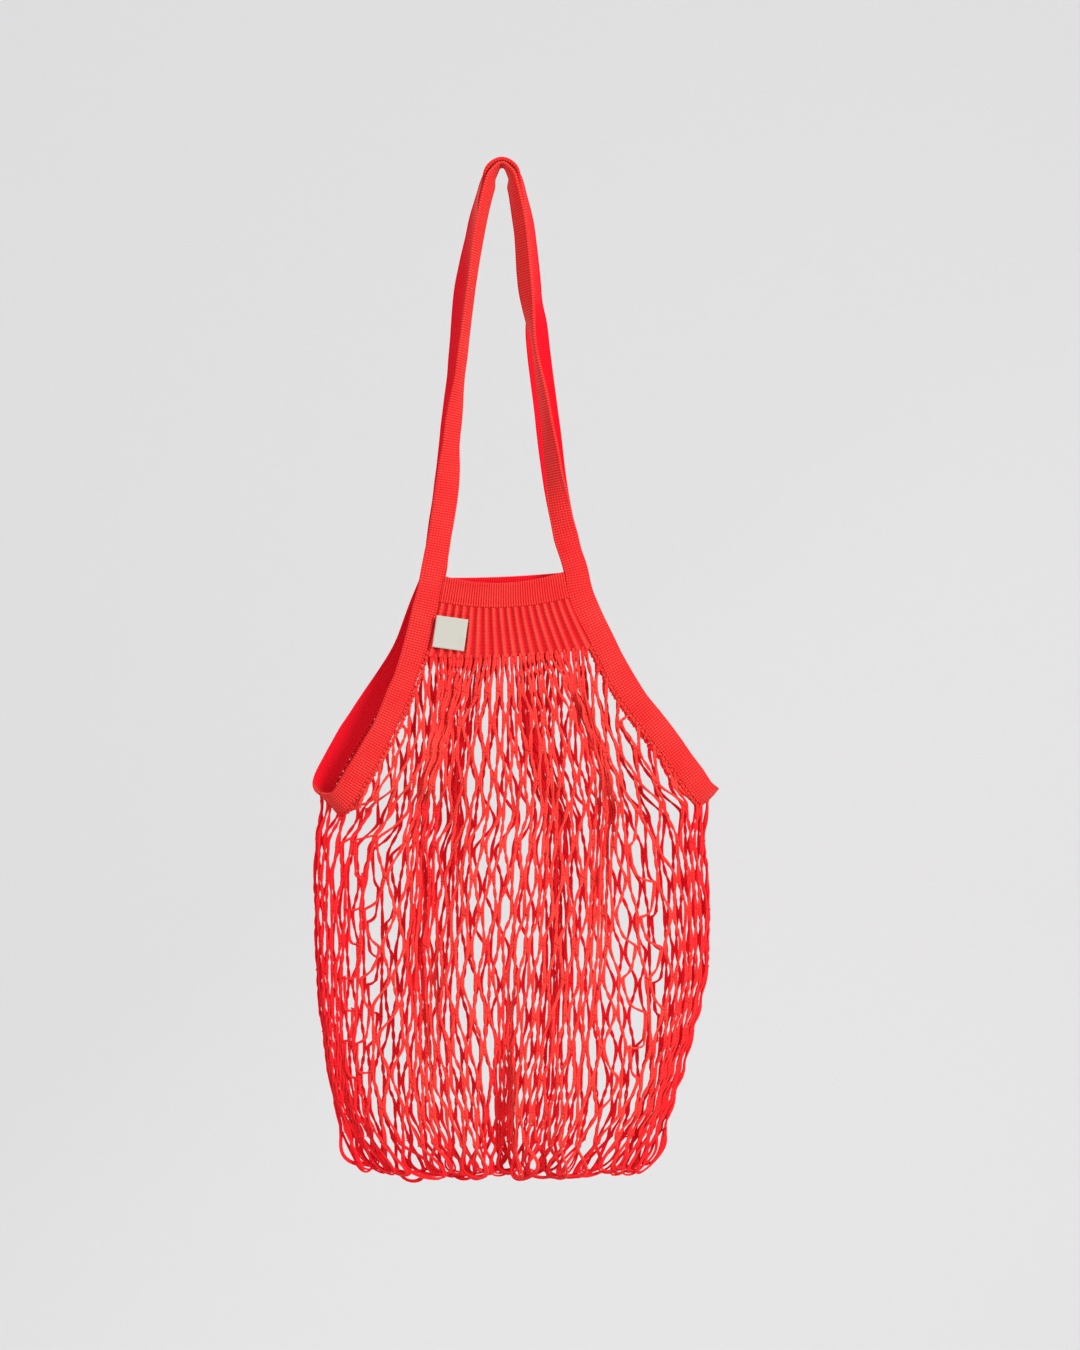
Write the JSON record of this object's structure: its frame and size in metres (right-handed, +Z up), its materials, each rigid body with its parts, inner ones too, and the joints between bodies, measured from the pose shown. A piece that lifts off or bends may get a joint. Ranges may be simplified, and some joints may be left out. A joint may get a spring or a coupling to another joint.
{
  "type": "string shopping bag",
  "caption": "Knitted net shopping bag with two long tape shoulder handles, ribbed yokes and bare cloth label, hanging by its handles",
  "frame": {"origin": "underside of the front handle where the bag hangs, at the top of its loop", "axes": "+Z up along the hanging bag, +Y from the front panel to the back panel, +X to the right seen from the front"},
  "size_m": [0.2695, 0.0611, 0.674],
  "materials": {
    "net_yarn": "twisted coral red cotton yarn, matt and slightly fuzzy",
    "rib_knit": "coral red cotton rib knit",
    "hem_knit": "fine coral red cotton knit, folded and stitched",
    "tape_knit": "coral red cotton tape with fine cross ribs",
    "label_cloth": "bare cream woven cotton"
  },
  "bodies": {
    "root": {"net": "net_yarn", "yoke_front": "rib_knit", "yoke_back": "rib_knit", "hem_front": "hem_knit", "hem_back": "hem_knit", "tape_front": "tape_knit", "tape_back": "tape_knit", "label": "label_cloth"}
  },
  "joints": []
}
